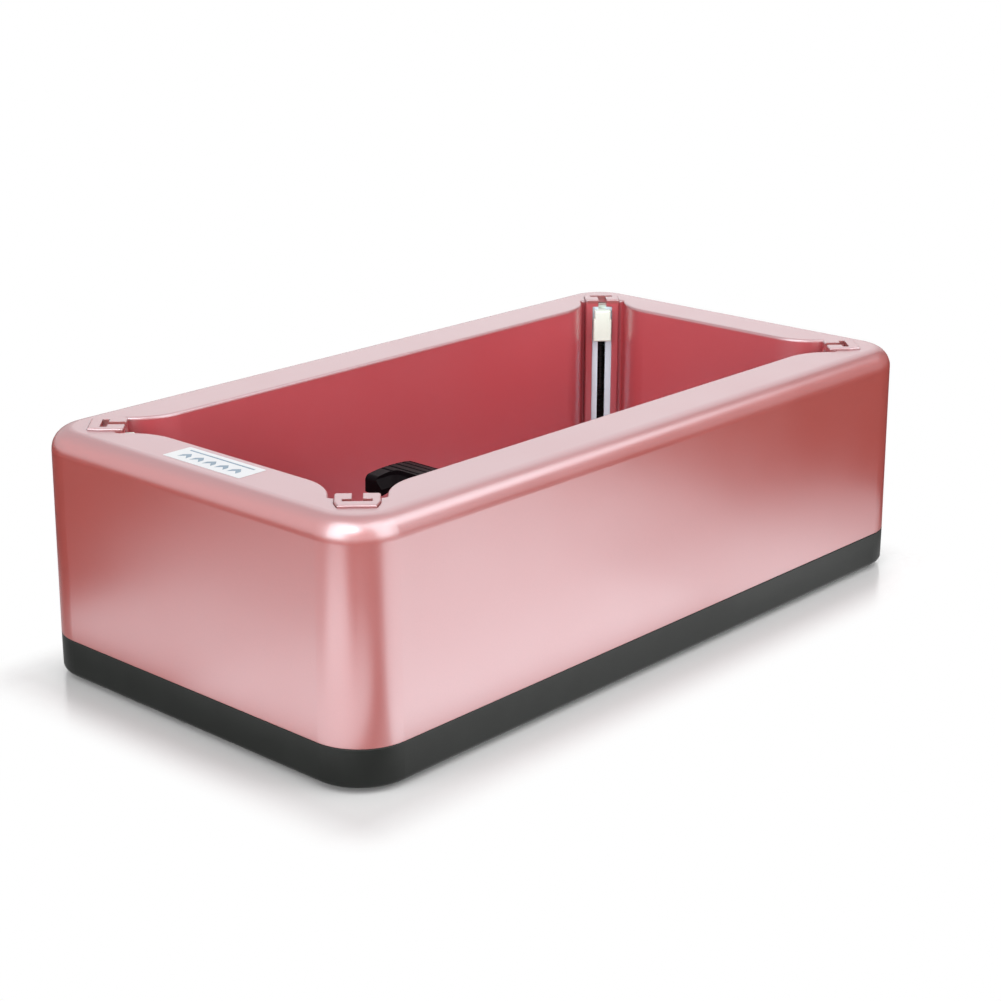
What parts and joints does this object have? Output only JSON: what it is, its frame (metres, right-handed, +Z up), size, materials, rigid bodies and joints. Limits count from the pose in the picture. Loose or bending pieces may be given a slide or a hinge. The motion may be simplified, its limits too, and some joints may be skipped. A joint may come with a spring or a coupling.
{
  "type": "automatic shoe cover dispenser",
  "caption": "Long box with a deep pit, spring-loaded corner guides with T-shaped slots and a ribbed pedal, which puts disposable covers on shoes stepped into it.",
  "frame": {"origin": "on the floor, below the middle of the box", "axes": "+X along the length to the heel end, +Y to the user's right, +Z up"},
  "size_m": [0.4, 0.213, 0.1185],
  "materials": {
    "shell_pink": "pearl pink moulded plastic",
    "tray_black": "fine-grained black plastic",
    "pedal_black": "black moulded plastic",
    "rail_white": "white moulded plastic",
    "liner_black": "black low-friction plastic",
    "slider_cream": "cream moulded plastic",
    "spring_black": "blackened spring steel",
    "pin_steel": "ground steel",
    "clip_steel": "spring steel",
    "plate_steel": "galvanised sheet",
    "screw_steel": "zinc-plated steel",
    "bush_plastic": "natural nylon",
    "foot_rubber": "black rubber"
  },
  "bodies": {
    "housing": {"base_tray": "tray_black", "column_screws": "screw_steel", "guide_column_heel_left": "shell_pink", "guide_column_heel_right": "shell_pink", "guide_column_toe_left": "shell_pink", "guide_column_toe_right": "shell_pink", "guide_rail_heel_left": "rail_white", "guide_rail_heel_right": "rail_white", "guide_rail_toe_left": "rail_white", "guide_rail_toe_right": "rail_white", "housing_screws": "screw_steel", "lift_spring_heel_left": "spring_black", "lift_spring_heel_right": "spring_black", "lift_spring_toe_left": "spring_black", "lift_spring_toe_right": "spring_black", "pedal_bushes": "bush_plastic", "pedal_pin": "pin_steel", "pin_clips": "clip_steel", "pit_floor": "shell_pink", "plate_washers": "clip_steel", "rail_liner_heel_left": "liner_black", "rail_liner_heel_right": "liner_black", "rail_liner_toe_left": "liner_black", "rail_liner_toe_right": "liner_black", "return_spring": "spring_black", "rubber_feet": "foot_rubber", "upper_shell": "shell_pink"},
    "pedal": {"pedal": "pedal_black"},
    "release": {"release_plate": "plate_steel"},
    "slider_toe_left": {"lift_slider_toe_left": "slider_cream"},
    "slider_toe_right": {"lift_slider_toe_right": "slider_cream"},
    "slider_heel_left": {"lift_slider_heel_left": "slider_cream"},
    "slider_heel_right": {"lift_slider_heel_right": "slider_cream"}
  },
  "joints": [
    {"name": "slider_lift_toe_left", "type": "slide", "parent": "housing", "child": "slider_toe_left", "axis": [0, 0, 1], "range_m": [-0.0575, 0], "stiffness_N_per_m": 150, "springref_m": 0.015, "deforming": ["lift_spring_toe_left"]},
    {"name": "slider_lift_toe_right", "type": "slide", "parent": "housing", "child": "slider_toe_right", "axis": [0, 0, 1], "range_m": [-0.0575, 0], "stiffness_N_per_m": 150, "springref_m": 0.015, "deforming": ["lift_spring_toe_right"]},
    {"name": "slider_lift_heel_left", "type": "slide", "parent": "housing", "child": "slider_heel_left", "axis": [0, 0, 1], "range_m": [-0.0575, 0], "stiffness_N_per_m": 150, "springref_m": 0.015, "deforming": ["lift_spring_heel_left"]},
    {"name": "slider_lift_heel_right", "type": "slide", "parent": "housing", "child": "slider_heel_right", "axis": [0, 0, 1], "range_m": [-0.0575, 0], "stiffness_N_per_m": 150, "springref_m": 0.015, "deforming": ["lift_spring_heel_right"]},
    {"name": "pedal_press", "type": "hinge", "parent": "housing", "child": "pedal", "pos_m": [0.014, 0, 0.015], "axis": [0, -1, 0], "range_deg": [0, 22], "stiffness_Nm_per_rad": 0.4, "springref_deg": -17.19},
    {"name": "release_shift", "type": "slide", "parent": "housing", "child": "release", "axis": [1, 0, 0], "range_m": [0, 0.0031], "deforming": ["return_spring"]}
  ],
  "couplings": [
    {"joint": "release_shift", "follows": "pedal_press", "m_per_rad": 0.0079}
  ]
}
